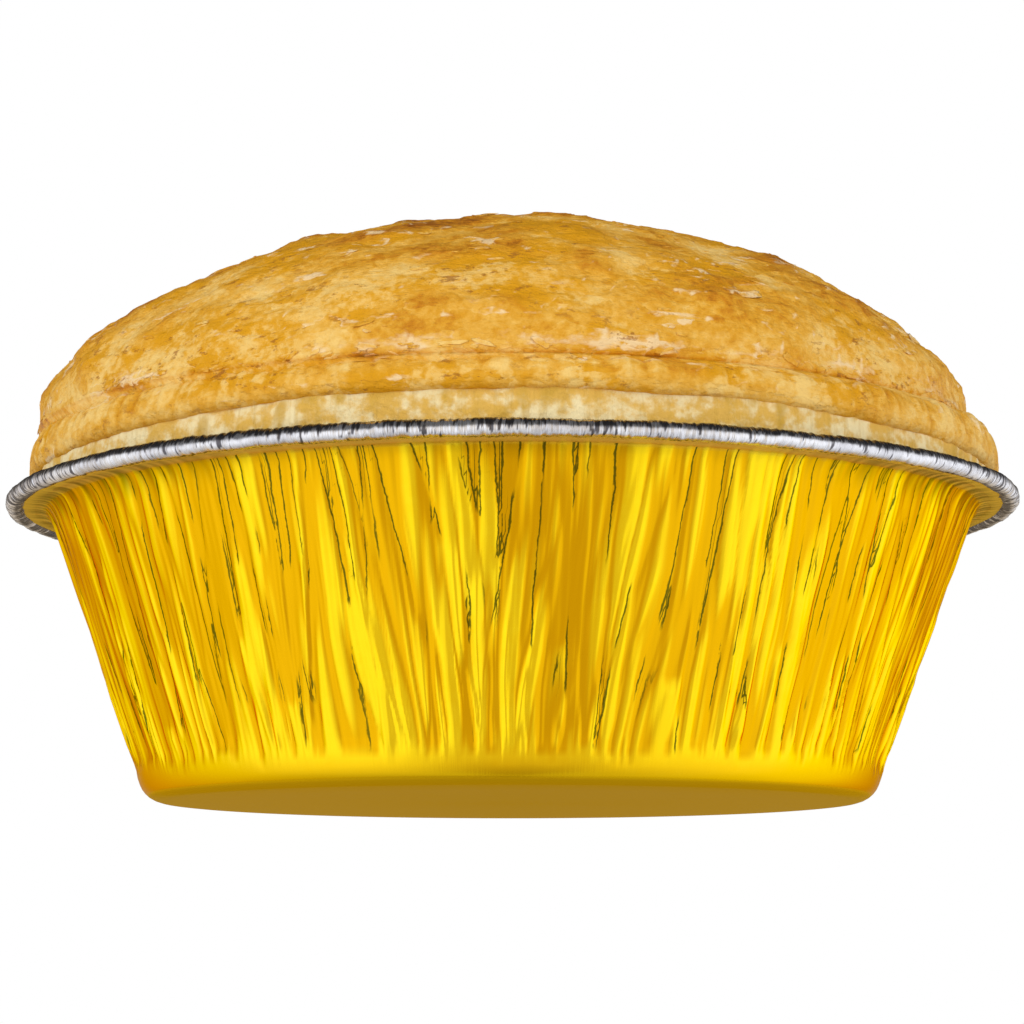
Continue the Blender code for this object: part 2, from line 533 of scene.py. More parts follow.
@dataclass(frozen=True)
class GoldLacquer:
    """Gold-lacquered foil: a clear yellow metal with hairline creases and a soft satin gloss, with
    painted shade: amber in its hollows, at its heel and under the rim, dark lines in its creases
    and olive underneath.
    """

    bright: Colour = (1.0, 0.72, 0.011)
    deep: Colour = (0.98, 0.65, 0.004)
    # amber: painted shade in the wall's hollows, at its heel and under the rim
    amber: Colour = (0.80, 0.43, 0.002)
    # olive: painted shade on the tin's underside
    olive: Colour = (0.52, 0.30, 0.003)
    # lip: painted shade on the flange's underside, under the rolled rim
    lip: Colour = (0.70, 0.46, 0.08)
    # crease: painted shadow in the creases, a near-black line
    crease: Colour = (0.07, 0.078, 0.005)
    sheen: Colour = (0.95, 0.6, 0.02)
    roughness: Pair = (0.15, 0.22)
    hairlines: float = 190.0
    hairline_rise: float = 55.0
    crease_width: Pair = (0.165, 0.055)
    underside: Pair = (1.0 * MM, 0.45 * MM)

    def material(self, effects: SharedEffects) -> bpy.types.Material:
        """Builds the finish."""
        made, nodes, shader = principled("gold lacquer")
        lines = nodes.group(
            effects.upright, Turn=self.hairlines, Rise=self.hairline_rise, Detail=3.0
        ).outputs[0]
        blotch = nodes.group(effects.mottle, Scale=60.0, Grain=900.0).outputs["Mask"]
        colour = nodes.mixed(nodes.between(blotch, 0.2, 1.0, (0.0, 0.45)), self.bright, self.deep)
        # painted shade: the stored deep mask turns the gold amber
        colour = nodes.mixed(nodes.between(nodes.stored("deep"), 0.0, 1.0), colour, self.amber)
        # painted shade on the lip under the rim
        colour = nodes.mixed(nodes.maths("MULTIPLY", nodes.stored("lip"), 0.8), colour, self.lip)
        # painted shadow lines in the creases and painted shade under the rim
        colour = nodes.mixed(self.creases(effects, nodes, lines), colour, self.crease)
        # painted shade: the lowest millimetre of the tin turns olive and satin
        under = nodes.between(nodes.part(nodes.place(), "Z"), *self.underside)
        satin = nodes.maths("MAXIMUM", under, nodes.stored("lip"))
        nodes.fill(
            shader,
            Base_Color=nodes.mixed(under, colour, self.olive),
            Metallic=nodes.between(satin, 0.0, 1.0, (1.0, 0.25)),
            Roughness=nodes.between(lines, 0.2, 0.8, self.roughness),
            Normal=nodes.bump(lines, 0.03 * MM, 0.3),
            Specular_IOR_Level=0.0,
            Specular_Tint=self.sheen,
        )
        return made

    def creases(self, effects: SharedEffects, nodes: Tree, lines: Socket) -> Socket:
        """Mask of the painted shadow lines in the creases and of the painted shade under the rim.

        Args:
            effects: the shared groups.
            nodes: the material's tree.
            lines: the hairlines, which vary a crease's width.

        Returns:
            The mask, from 0 to 1.
        """
        kinks = nodes.group(effects.upright, Turn=60.0, Rise=650.0, Detail=3.0).outputs[0]
        wander = nodes.off(kinks, 0.5, nodes.stored("gap"))
        across = nodes.maths("ABSOLUTE", wander)
        width = nodes.maths("MULTIPLY", across, nodes.between(lines, 0.3, 0.7, (0.8, 1.8)))
        thin = nodes.between(width, *self.crease_width, (0.0, 0.9))
        dark = nodes.maths("MULTIPLY", thin, nodes.between(nodes.stored("crease"), 0.1, 0.6))
        return nodes.maths("MAXIMUM", dark, nodes.maths("MULTIPLY", nodes.stored("shade"), 0.75))


@dataclass(frozen=True)
class BareFoil:
    """Bare silver foil, worked into fine upright wrinkles as it was rolled, painted dark in places
    as reflection and shade.
    """

    light: Colour = (0.86, 0.87, 0.93)
    wear_and_shade: Colour = (0.58, 0.58, 0.64)
    # dark: painted dark reflection and shade on the roll
    dark: Colour = (0.12, 0.115, 0.13)
    roughness: Pair = (0.18, 0.36)
    wrinkles: float = 420.0

    def material(self, effects: SharedEffects) -> bpy.types.Material:
        """Builds the finish."""
        made, nodes, shader = principled("bare foil")
        lines = nodes.group(
            effects.upright, Turn=self.wrinkles, Rise=260.0, Detail=2.0
        ).outputs[0]
        blotch = nodes.group(effects.mottle, Scale=160.0, Grain=1400.0).outputs["Mask"]
        colour = nodes.mixed(nodes.between(blotch, 0.3, 1.0, (0.0, 0.6)), self.light, self.wear_and_shade)
        # painted dark reflection and shade on the roll, from the stored dark mask
        dark = nodes.between(nodes.stored("dark"), 0.0, 1.0, (0.0, 0.97))
        nodes.fill(
            shader,
            Base_Color=nodes.mixed(dark, colour, self.dark),
            Roughness=nodes.between(lines, 0.2, 0.8, self.roughness),
            Normal=nodes.bump(lines, 0.08 * MM, 0.7),
            Metallic=1.0,
        )
        return made


@dataclass(frozen=True)
class PaleCrust:
    """Barely browned pastry: cream with tan blotches and short upright streaks, and painted shade
    from the stored tan.
    """

    cream: Colour = (0.97, 0.82, 0.47)
    tan: Colour = (0.80, 0.49, 0.10)
    streak: Colour = (0.62, 0.37, 0.05)

    def material(self, effects: SharedEffects) -> bpy.types.Material:
        """Builds the finish."""
        made, nodes, shader = principled("pale crust")
        blotch = nodes.group(effects.mottle, Scale=260.0, Grain=900.0).outputs
        upright = nodes.group(effects.upright, Turn=70.0, Rise=90.0, Detail=3.0).outputs[0]
        streaks = nodes.between(upright, 0.46, 0.7)
        colour = nodes.mixed(nodes.between(blotch["Mask"], 0.1, 0.85), self.cream, self.tan)
        colour = nodes.mixed(nodes.maths("MULTIPLY", streaks, 0.3), colour, self.streak)
        # the stored tan holds the band's tan smears and the painted shade under the lid's ledge
        tanned = nodes.between(nodes.stored("tan"), 0.0, 1.0, (0.0, 0.8))
        relief = nodes.bump(nodes.noise(nodes.place(), 700.0, 5.0, 0.6), 0.7 * MM, 0.6)
        nodes.fill(
            shader,
            Base_Color=nodes.mixed(tanned, colour, self.streak),
            Roughness=nodes.between(blotch["Fine"], 0.0, 1.0, (0.62, 0.8)),
            Normal=nodes.bump(streaks, 0.1 * MM, 0.5, relief),
            Specular_IOR_Level=0.15,
        )
        return made


@dataclass(frozen=True)
class BakedCrust:
    """Baked puff pastry: cream, gold and brown patches, pale breaks and an egg-wash gloss."""

    stops: tuple[tuple[float, Colour], ...] = (
        (0.0, (0.91, 0.61, 0.19)),
        (0.3, (0.83, 0.46, 0.072)),
        (0.52, (0.74, 0.355, 0.026)),
        (0.75, (0.60, 0.23, 0.012)),
        (1.0, (0.30, 0.09, 0.01)),
    )
    # flake: pale pastry, also the colour of the painted highlight on the ledge's top edge
    flake: Colour = (0.94, 0.71, 0.40)
    amber: Colour = (0.74, 0.345, 0.008)
    speck: Colour = (0.36, 0.13, 0.02)

    plate_scale: float = 290.0
    layering: Colour = (1.0, 1.0, 2.2)

    def plates(self, nodes: Tree, layered: Socket) -> tuple[Socket, Socket, Socket]:
        """Ragged flakes of pastry.

        Args:
            nodes: the material's tree.
            layered: the place, squeezed upright so that what reads it runs in layers.

        Returns:
            Two tones, each even over a flake, and a mask of the flakes' edges.
        """
        ragged = nodes.add("TexNoise")
        nodes.fill(ragged, Vector=layered, Scale=380.0, Detail=3.0)
        shaken = nodes.vector("ADD", layered, nodes.scaled(ragged.outputs["Color"], 3.5 * MM))
        cells, rims = (
            nodes.add("TexVoronoi", feature=feature) for feature in ("F1", "DISTANCE_TO_EDGE")
        )
        for node in (cells, rims):
            nodes.fill(node, Vector=shaken, Scale=self.plate_scale)
        tone = nodes.add("SeparateColor")
        nodes.feed(tone.inputs[0], cells.outputs["Color"])
        edge = nodes.between(rims.outputs["Distance"], 0.2, 0.0)
        return tone.outputs[0], tone.outputs[1], edge

    def material(self, effects: SharedEffects) -> bpy.types.Material:
        """Builds the finish."""
        made, nodes, shader = principled("baked crust")
        place = nodes.place()
        layered = nodes.vector("MULTIPLY", place, self.layering)
        tone, lone, edge = self.plates(nodes, layered)
        broken = nodes.between(nodes.noise(layered, 130.0, 2.0), 0.48, 0.62)
        edge = nodes.maths("MULTIPLY", edge, broken)
        blotch = nodes.group(effects.mottle, Scale=150.0, Grain=1100.0).outputs
        patches = nodes.noise(layered, 75.0, 3.0, 0.5)
        streaks = nodes.noise(layered, 300.0, 4.0, 0.62)
        browning = nodes.off(blotch["Mask"], 0.3, nodes.stored("tan"))
        browning = nodes.off(blotch["Fine"], 0.16, browning)
        browning = nodes.off(streaks, 0.5, browning)
        even = nodes.maths("SUBTRACT", tone, 0.5)
        browning = nodes.maths("MULTIPLY_ADD", even, 0.22, browning, clamp=True)
        colour = nodes.ramp(browning, list(self.stops))
        toasted = nodes.between(browning, 0.15, 0.45, (0.0, 0.9))
        toasted = nodes.maths("MULTIPLY", nodes.between(patches, 0.45, 0.6), toasted)
        colour = nodes.mixed(toasted, colour, self.amber)
        pale = nodes.maths("MULTIPLY_ADD", streaks, 1.7, -0.95)
        pale = nodes.maths("ADD", nodes.stored("flake"), pale)
        pale = nodes.maths("MULTIPLY_ADD", edge, 0.35, pale)
        lone = nodes.between(lone, 0.82, 0.92, (0.0, 0.4))
        pale = nodes.maths("MULTIPLY_ADD", lone, broken, pale)
        # the stored flake mask also carries the painted highlight along the ledge's top edge
        colour = nodes.mixed(nodes.between(pale, 0.25, 0.75, (0.0, 0.85)), colour, self.flake)
        specks = nodes.noise(layered, 420.0, 4.0, 0.72)
        specks = nodes.between(specks, 0.575, 0.66, (0.0, 0.75))
        specks = nodes.maths("MULTIPLY", specks, nodes.between(patches, 0.35, 0.6))
        grain = nodes.bump(nodes.noise(place, 1100.0, 6.0, 0.65), 0.3 * MM, 0.6)
        layers = nodes.maths("MULTIPLY_ADD", edge, -0.2, tone)
        layers = nodes.bump(layers, 0.25 * MM, 0.5, grain)
        nodes.fill(
            shader,
            Base_Color=nodes.mixed(specks, colour, self.speck),
            Roughness=nodes.between(browning, 0.2, 0.8, (0.56, 0.34)),
            Normal=nodes.bump(streaks, 0.9 * MM, 0.7, layers),
            Specular_IOR_Level=0.15,
        )
        return made


# ---------------------------------------------------------------- foil tin


@dataclass(frozen=True)
class Fold:
    """One crease in the wall: a steep side and a gentle side meeting in a sharp valley."""

    place: float
    drift: float
    bend: float
    start: float
    end: float
    depth: float
    steep: float
    gentle: float
    shadow: float

    def centre(self, drop: np.ndarray) -> np.ndarray:
        """Where the valley runs round the wall, at each share of its height from the rim."""
        return self.place + self.drift * drop + self.bend * np.sin(math.pi * drop)

    def run(self, drop: np.ndarray) -> np.ndarray:
        """How fully it is pressed at each share of the height, falling off at its ends."""
        fade_in, fade_out = 0.12, 0.06
        started = smooth(drop, self.start, self.start + fade_in)
        return started * smooth(drop, self.end, self.end - fade_out)


@dataclass
class Press:
    """What the folds do at each vertex: how far it goes in, how much painted shade turns its gold
    amber, and its painted dark shadow line.
    """

    depth: np.ndarray
    deep: np.ndarray
    mark: np.ndarray
    gap: np.ndarray

    def ripple(self, wave: np.ndarray, depth: float) -> None:
        """Presses a valley along a wave's zero line, and paints amber shade into it."""
        valley = np.clip(1 - np.abs(wave) / 0.4, 0, 1)
        self.depth += depth * valley**1.4
        # painted shade: the valley's gold is painted amber
        self.deep += 3.2 * depth / MM * valley**1.8

    def fold(self, fold: Fold, across: np.ndarray, drop: np.ndarray, whole: np.ndarray) -> None:
        """Presses one fold, painting amber shade into it and a dark shadow line along its valley.

        Args:
            fold: the fold.
            across: each vertex's signed distance from its valley.
            drop: each vertex's share of the wall's height, from the rim.
            whole: mask that breaks the painted shadow lines of the creases off.
        """
        reach, shadow_width, shade_per_depth = 8 * MM, 0.45 * MM, 1.6 / MM
        near = np.abs(across) < reach
        across = across[near]
        run = fold.run(drop[near])
        share = np.abs(across) / np.where(across > 0, fold.gentle, fold.steep)
        press = fold.depth * run * np.exp(-share if fold.depth > 0 else -(share**2))
        self.depth[near] += press
        # painted shade: amber in proportion to how far the fold presses in
        self.deep[near] += shade_per_depth * press
        # painted shadow: a dark line along the fold's valley
        mark = fold.shadow * run * whole[near] * bell(across, shadow_width)
        closer = mark > self.mark[near]
        self.mark[near] = np.where(closer, mark, self.mark[near])
        self.gap[near] = np.where(closer, across / MM, self.gap[near])


@dataclass
class FoilTin:
    """The tin: gold skin with its folded wall, and the rolled silver rim."""

    base_radius: float = 42.75 * MM
    flare: float = 0.37
    wall_top: float = 33.7 * MM
    neck: float = 0.9 * MM
    heel: float = 3.0 * MM
    rim_radius: float = 60.0 * MM
    bead_half: Pair = (1.05 * MM, 0.9 * MM)
    bead_z: float = 34.75 * MM
    flange_foot: float = 56.0 * MM
    inset: float = 0.8 * MM
    columns: int = 1600
    wall_rows: int = 40
    bead_columns: int = 3400
    folds: int = 320
    kinds: tuple[float, float, float] = (0.2, 0.36, 0.44)
    depth: Pair = (0.12 * MM, 0.32 * MM)
    gentle: Pair = (0.4, 1.1)
    steep: Pair = (0.15, 0.3)
    hollows: int = 16
    ridges: int = 170
    ripples: tuple[tuple[Grain, float], ...] = (
        (Grain(13, 3.0 * MM, 40 * MM), 0.24 * MM),
        (Grain(14, 1.7 * MM, 30 * MM), 0.22 * MM),
        (Grain(17, 1.0 * MM, 20 * MM), 0.1 * MM),
    )
    lean: Grain = Grain(12, 13 * MM, 22 * MM)
    jog: Grain = Grain(18, 3.5 * MM, 7 * MM)
    slant: Grain = Grain(20, 9 * MM)
    breaks: Grain = Grain(21, 1.6 * MM, 8 * MM)
    broad: Grain = Grain(15, 6 * MM, 30 * MM)
    crumple: Grain = Grain(19, 1.1 * MM, 1.9 * MM)
    streak: Grain = Grain(16, 0.9 * MM, 9 * MM)
    fine: Grain = Grain(15, 0.62 * MM, 1 / 0.45)
    thin: Grain = Grain(16, 0.3 * MM, 1 / 0.8)
    dents: Grain = Grain(17, 3.2 * MM, 1 / 0.7)
    seed: int = 11

    @property
    def mean_radius(self) -> float:
        """Radius of the wall half way up."""
        return self.wall_radius(self.wall_top / 2)

    def wall_radius(self, height: float, inset: float = 0.0) -> float:
        """Radius of the wall at a height, moved in square to it by inset."""
        return self.base_radius + self.flare * height - inset * math.hypot(1.0, self.flare)

    def heel_arc(self, floor: float, inset: float, radius: float, steps: int) -> list[Pair]:
        """Points of the rounded heel from the base to the wall."""
        turn = 90 - math.degrees(math.atan(self.flare))
        middle = self.wall_radius(floor, inset) - radius * math.tan(math.radians(turn / 2))
        return arc((middle, floor + radius), (radius, radius), (-90, turn - 90), steps)

    def skin_section(self) -> Section:
        """Outside from the middle of the base up to the rim, then coarsely back down the inside."""
        top, foot_radius = self.wall_top, self.flange_foot
        heel = self.heel_arc(0.0, 0.0, self.heel, 6)
        neck = (self.wall_radius(top - self.neck), top - self.neck)
        turn = [(self.wall_radius(top) - 0.03 * MM, top - 0.2 * MM)]
        turn += [(self.wall_radius(top) + 0.3 * MM, top + 0.12 * MM)]
        foot = (foot_radius, top + 0.28 * MM)
        under = (foot_radius + 1.6 * MM, top + 0.5 * MM)
        tip = (self.rim_radius - 1.6 * MM, top + 0.62 * MM)
        outside = [*straight((0.0, 0.0), heel[0], 4), *heel[:-1]]
        outside += [*straight(heel[-1], neck, self.wall_rows), neck, *turn]
        outside += [*straight(foot, under, 3), *straight(under, tip, 2), tip]
        inside = [(foot[0], foot[1] + 0.12 * MM), (self.wall_radius(top, self.inset), top)]
        inside += [(self.wall_radius(self.heel, self.inset), self.heel), (0.0, self.inset)]
        return Section(np.array([*outside, *inside]))

    def spot(self, draw: np.random.Generator, index: int, count: int) -> float:
        """Length round the wall of one of a count of folds, which are spaced a little unevenly."""
        return math.tau * self.mean_radius * (index + draw.uniform(-0.45, 0.45)) / count

    def sharp_folds(self, draw: np.random.Generator) -> list[Fold]:
        """The creases, some of which start part of the way down."""
        folds = []
        kinds = draw.choice(list(FoldKind), size=self.folds, p=self.kinds)
        for index, kind in enumerate(kinds):
            start, end = (draw.uniform(*span) for span in kind.value)
            place = self.spot(draw, index, self.folds)
            hand = draw.choice((-1, 1))
            spread = 0.6 if kind is FoldKind.LOWER else 1.0
            spans = (self.gentle, self.steep)
            gentle, steep = (spread * draw.uniform(*span) * MM for span in spans)
            folds.append(
                Fold(
                    place=place,
                    drift=draw.normal(0.0, 2.0 * MM),
                    bend=draw.normal(0.0, 1.0 * MM),
                    start=start,
                    end=end,
                    depth=draw.uniform(*self.depth),
                    steep=steep if hand > 0 else gentle,
                    gentle=gentle if hand > 0 else steep,
                    shadow=float(draw.uniform() < 0.8) * draw.uniform(0.5, 1.0),
                )
            )
        return folds

    def round_folds(self, draw: np.random.Generator) -> list[Fold]:
        """The wide hollows, and the narrow ridges that stand out of the wall."""
        folds = []
        for index in range(self.hollows):
            place = self.spot(draw, index, self.hollows)
            width = draw.uniform(0.9, 1.5) * MM
            drift, end = draw.normal(0.0, 3 * MM), draw.uniform(0.5, 0.9)
            folds.append(Fold(place, drift, 0.8 * MM, -0.2, end, 0.5 * MM, width, width, 0.0))
        for index in range(self.ridges):
            place = self.spot(draw, index, self.ridges)
            width = draw.uniform(0.22, 0.36) * MM
            start, end = draw.uniform(0.1, 0.7), draw.uniform(0.84, 0.95)
            drift, bend = draw.normal(0.0, 2.2 * MM), draw.normal(0.0, 0.8 * MM)
            depth = -draw.uniform(0.12, 0.24) * MM
            folds.append(Fold(place, drift, bend, start, end, depth, width, width, 0.0))
        return folds

    def press_wall(self, at: TurnedPlaces) -> Press:
        """Works out ridges, folds and broad dents, before the wall's ends are left smooth."""
        drop = (self.wall_top - at.height) / self.wall_top
        lean, jog = at.noise(self.lean), at.noise(self.jog)
        shift = (6.5 * at.noise(self.slant) * (drop - 0.3) + 0.8 * lean + 0.2 * jog) * MM
        sheared = shift / self.mean_radius
        whole = smooth(at.noise(self.breaks) - 0.8 * (drop - 0.35), -0.35, 0.1)
        none, slack = np.zeros(len(drop)), 0.1 * MM
        press = Press(none + slack, none.copy(), none.copy(), none + 1)
        for grain, depth in self.ripples:
            press.ripple(at.noise(grain, sheared), depth)
        draw = np.random.default_rng(self.seed)
        place = (at.angle + sheared) * self.mean_radius
        for fold in self.sharp_folds(draw) + self.round_folds(draw):
            across = wrapped(place - fold.centre(drop), math.tau * self.mean_radius)
            press.fold(fold, across, drop, whole)
        crumple = at.noise(self.crumple, sheared) * smooth(jog + 0.5 * lean, 0.05, 0.5)
        press.depth += MM * (0.06 * at.noise(self.broad) + 0.015 * crumple)
        return press

    def fold_wall(self, skin: bpy.types.Object) -> None:
        """Presses the skin's wall, and stores its painted shade: amber in the hollows, at the heel
        and under the rim, the lip's shade, dark shadow lines in the creases and the rim's shade.
        """
        at = TurnedPlaces(places_of(skin), self.mean_radius)
        height, radius, foot = at.height, at.radius, self.flange_foot
        press = self.press_wall(at)
        low = (2.7 + 0.9 * at.noise(self.jog)) * MM
        wall = smooth(height - low, 0.0, 1.6 * MM) * (radius > self.base_radius - 3 * MM)
        wall *= read_values(skin, "along") < self.outer_length
        wall *= smooth(radius, foot + 1.2 * MM, foot)
        eased = 1 - 0.5 * smooth(height, self.wall_top - 1.4 * MM, self.wall_top - 0.1 * MM)
        most = 0.8 * self.inset
        inward = most * np.tanh(np.clip(press.depth, 0.0, None) / most)
        push_out(skin, -inward * wall * eased)
        in_foot = smooth(radius, foot + 0.6 * MM, foot)
        # painted shade: amber where the wall is pressed deep
        deep = smooth(press.deep, 0.2, 1.0) * in_foot * smooth(height - low, -0.4 * MM, 1.4 * MM)
        # painted shade near the floor: the lowest few millimetres of the wall are painted amber
        deep = np.maximum(deep, 0.6 * smooth(height, 5 * MM, 1 * MM))
        flange = smooth(height, 30.5 * MM, 34 * MM)
        # painted shade under the rim: brown patches at the top of the wall and under the flange
        wear_and_shade = 0.6 * flange * in_foot * smooth(at.noise(self.broad), -0.4, 0.5)
        side = smooth(np.abs(np.arctan2(at.places[:, 0], -at.places[:, 1])), 0.35, 1.0)
        streak = smooth(at.noise(self.streak), 0.7, -0.6)
        # lip: the turn from wall to flange, which the material paints darker as shade under the rim
        lip = smooth(radius, foot - 0.9 * MM, foot) * smooth(height, 33 * MM, 33.6 * MM)
        write_values(skin, "lip", lip)
        write_values(skin, "shade", flange * side * streak * smooth(radius, foot + 2.4 * MM, foot))
        write_values(skin, "deep", np.clip(np.maximum(deep, wear_and_shade), 0.0, 1.0))
        # painted shadow lines along the creases, with gap placing each one across its valley
        write_values(skin, "crease", np.clip(press.mark, 0.0, 1.0) * wall)
        write_values(skin, "gap", np.clip(press.gap, -1.0, 1.0))

    @property
    def outer_length(self) -> float:
        """Length of the section's outside, up to the tip under the bead."""
        section = self.skin_section()
        tip = int(np.argmax(section.points[:, 0]))
        return float(section.along()[tip]) + 0.01 * MM

    def build_skin(self, finish: bpy.types.Material) -> bpy.types.Object:
        """Makes the gold skin."""
        skin = turned("foil_skin", self.skin_section(), self.columns)
        self.fold_wall(skin)
        lean_rim(skin)
        settle(skin, Node.TIN, finish)
        return skin

    def bead_section(self) -> Section:
        """Round the roll from its lower inner side, then in over the flange and back under it."""
        middle = (self.rim_radius - self.bead_half[0], self.bead_z)
        roll = arc(middle, self.bead_half, (-152, 165), 17)
        top = (self.flange_foot - 0.4 * MM, self.wall_top + 0.92 * MM)
        under = (self.flange_foot - 0.4 * MM, self.wall_top + 0.85 * MM)
        return Section(np.array([*roll, *straight(roll[-1], top, 3)[1:], top, under, roll[0]]))

    def wrinkle_bead(self, bead: bpy.types.Object) -> None:
        """Works fine upright wrinkles and longer dents into the roll, and stores where the roll is
        painted dark as reflection and shade.
        """
        at = TurnedPlaces(places_of(bead), self.rim_radius)
        rise = at.height - self.bead_z
        roll = np.arctan2(rise, at.radius - (self.rim_radius - self.bead_half[0]))
        fine, thin, dents = (
            at.noise(grain, rows=roll) for grain in (self.fine, self.thin, self.dents)
        )
        amount = 0.2 * (0.35 - np.abs(fine)) + 0.05 * thin + 0.12 * dents
        on_roll = smooth(at.radius, self.flange_foot, self.flange_foot + 1.2 * MM)
        push_out(bead, amount * MM * (0.3 + 0.7 * on_roll))
        up, across = rise / self.bead_half[1], np.abs(at.places[:, 0])
        # painted reflection and shade: dark dashes along the wrinkles, darker towards the top of
        # the roll, on its inner side and at the tips
        lines = 0.9 * fine + 1.8 * thin + 0.6 * dents + 0.5 * up - 0.25
        lines += 1.3 * smooth(up, 0.8, 0.95) + 1.6 * smooth(roll, -1.35, -1.65)
        tips = smooth(across, 44 * MM, 57 * MM)
        sides = smooth(across, 8 * MM, 26 * MM) * (1 - tips)
        lines += tips * (0.35 + 1.1 * thin + 1.2 * fine)
        lines += sides * (np.clip(2.8 * (up - 0.05), -0.4, 1.6) - 0.3 * thin + 0.5 * fine)
        write_values(bead, "dark", smooth(lines, -0.1, 0.45))

    def build_bead(self, finish: bpy.types.Material) -> bpy.types.Object:
        """Makes the rolled rim."""
        bead = turned("rim_bead", self.bead_section(), self.bead_columns)
        self.wrinkle_bead(bead)
        lean_rim(bead)
        settle(bead, Node.TIN, finish)
        return bead


def lean_rim(piece: bpy.types.Object) -> None:
    """Leans the soft tin a little to its right, more towards the rim, and all above with it."""
    rise, lift, sway, wave = 0.27 * MM, 0.12 * MM, 0.4 * MM, 0.1 * MM
    still, full, reach = 4 * MM, 34 * MM, 60 * MM
    places = places_of(piece)
    share = smooth(places[:, 2], still, full)
    ripple = wave * np.sin(3 * TurnedPlaces(places).angle + 0.8)
    places[:, 2] += share * (rise * places[:, 0] / reach + ripple + lift)
    places[:, 0] += share * sway
    move_to(piece, places)


# ---------------------------------------------------------------- pastry


@dataclass
class PaleBand:
    """The base pastry: it fills the tin and laps over the flange as a pale band under the lid."""

    tin: FoilTin
    radius: float = 56.5 * MM
    shift: float = 0.1 * MM
    bulge: float = 0.4 * MM
    top: float = 39.5 * MM
    shows: Pair = (35.2 * MM, 36.4 * MM)
    columns: int = 760
    soft: Grain = Grain(31, 9 * MM, 6 * MM)
    scuffs: Grain = Grain(32, 1.6 * MM, 5 * MM)

    def section(self) -> Section:
        """Up the inside of the tin, over the flange, round the soft edge and in under the lid."""
        tin, inset, soft = self.tin, 1.0 * MM, 1.2 * MM
        lap, edge_half = tin.wall_top + 0.9 * MM, 1.4 * MM
        heel = tin.heel_arc(inset, inset, tin.heel - inset, 3)
        middle = (self.radius - soft, lap + edge_half)
        edge = arc(middle, (soft + self.bulge, edge_half), (-90, -8), 6)
        brow = (self.radius + 0.1 * MM, self.top)
        crown = self.top + 0.25 * MM
        body = [(0.0, inset), *heel]
        body += [(tin.wall_radius(tin.wall_top, inset), tin.wall_top + 0.2 * MM), *edge]
        body += [*straight(edge[-1], brow, 8)[1:], brow]
        shoulder = [(self.radius - 0.8 * MM, crown), (self.radius - 6 * MM, crown)]
        return Section(np.array([*body, *shoulder, (0.0, self.top)]))

    def build(self, finish: bpy.types.Material) -> bpy.types.Object:
        """Makes the band with its soft dents and upright scuffs, its tan smears and painted shade
        under the lid's ledge.
        """
        band = turned("pale_band", self.section(), self.columns)
        at = TurnedPlaces(places_of(band), self.radius)
        shows = smooth(at.height, *self.shows) * smooth(at.radius, 50 * MM, 55 * MM)
        soft, scuffs = at.noise(self.soft), at.noise(self.scuffs)
        push_out(band, shows * MM * (0.3 * soft + 0.16 * scuffs))
        places = places_of(band)
        places[:, 0] += self.shift * smooth(places[:, 2], *self.shows)
        move_to(band, places)
        # painted shade: the band's top, just under the lid's ledge, darkens in soft blotches
        ledge_shade = smooth(places[:, 2], 37.2 * MM, 39.3 * MM) * smooth(soft, -0.3, 0.5)
        smears = smooth(scuffs, 0.1, 0.6) * smooth(soft, -0.3, 0.3)
        # tan: the band's own tan smears plus the painted shade under the ledge
        tan = 0.8 * smears + 0.75 * ledge_shade * smooth(scuffs, -0.6, 0.3)
        write_values(band, "tan", np.clip(tan, 0, 1))
        lean_rim(band)
        settle(band, Node.BAND, finish)
        return band


@dataclass(frozen=True)
class Lump:
    """A swelling or a dent in the lid, at an angle round it and a height."""

    angle: float
    height: float
    size: float
    rise: float


